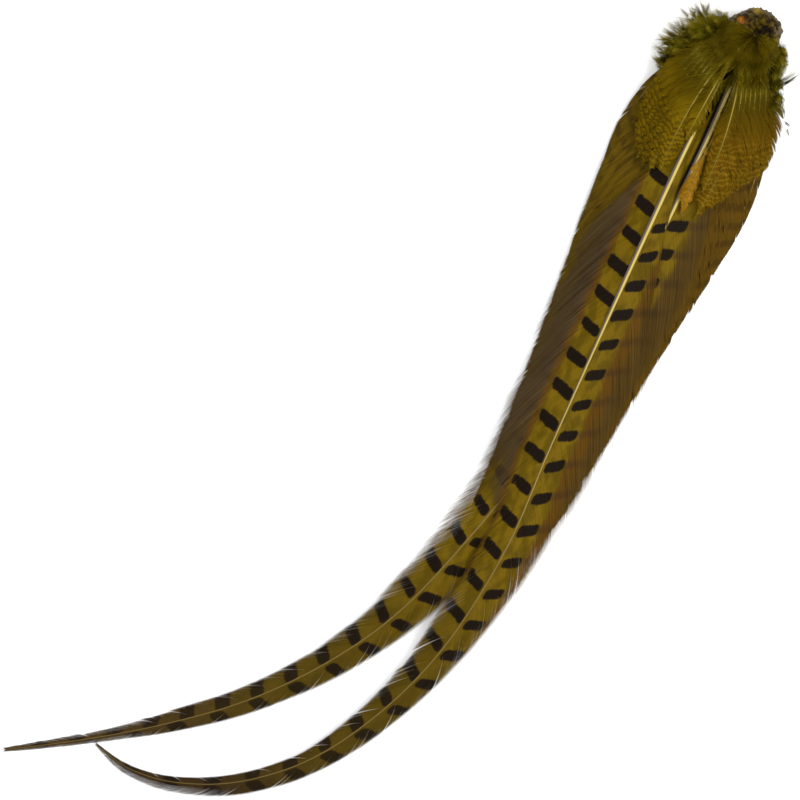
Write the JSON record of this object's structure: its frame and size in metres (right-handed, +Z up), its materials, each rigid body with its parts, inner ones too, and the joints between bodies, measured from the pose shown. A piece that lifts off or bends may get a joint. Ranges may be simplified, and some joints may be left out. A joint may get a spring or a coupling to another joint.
{
  "type": "whole pheasant tail",
  "caption": "Dried whole tail of a cock pheasant, dyed olive: long barred central feathers, shorter side feathers, tail coverts and down on a stub of skin, lying flat.",
  "frame": {"origin": "middle of the flat foot of the skin stub, on the plane that the tail lies on", "axes": "+X from the stub towards the tips of the long feathers, +Y to the side that the central feathers bulge to, +Z up from the surface it lies on"},
  "size_m": [0.4961, 0.1436, 0.0273],
  "materials": {
    "tail_vane": "matt barbs dyed olive with dark brown bars and brown edges, pale glossy quill",
    "side_vane": "matt barbs dyed olive brown with faint dark bars",
    "covert_vane": "soft matt barbs dyed olive, finely waved with brown",
    "worn_vane": "sparse matt orange-brown barbs",
    "dried_skin": "hard, dark, wrinkled and slightly glossy dried skin with short olive hairs",
    "down": "fluffy olive-green down"
  },
  "bodies": {
    "root": {"rump_stub": "dried_skin", "down_left": "down", "down_right": "down", "tail_feather_left_2": "side_vane", "tail_feather_right_2": "side_vane", "tail_feather_left_3": "side_vane", "tail_feather_right_3": "side_vane", "tail_feather_left_4": "side_vane", "tail_feather_right_4": "side_vane", "tail_feather_left_5": "side_vane", "tail_feather_right_5": "side_vane", "tail_feather_left_6": "side_vane", "tail_feather_right_6": "side_vane", "tail_feather_left_7": "side_vane", "tail_feather_right_7": "side_vane", "tail_feather_left_8": "side_vane", "tail_feather_right_8": "side_vane", "tail_feather_left_9": "side_vane", "tail_feather_right_9": "side_vane", "central_feather_left": "tail_vane", "central_feather_right": "tail_vane", "covert_middle": "worn_vane", "covert_left_1": "covert_vane", "covert_right_1": "covert_vane", "covert_left_2": "covert_vane", "covert_right_2": "covert_vane", "covert_left_3": "covert_vane", "covert_right_3": "covert_vane", "covert_left_4": "covert_vane", "covert_right_4": "covert_vane", "covert_left_5": "covert_vane", "covert_right_5": "covert_vane", "covert_left_6": "covert_vane", "covert_right_6": "covert_vane", "covert_left_7": "covert_vane", "covert_right_7": "covert_vane", "covert_left_8": "covert_vane", "covert_right_8": "covert_vane"}
  },
  "joints": []
}
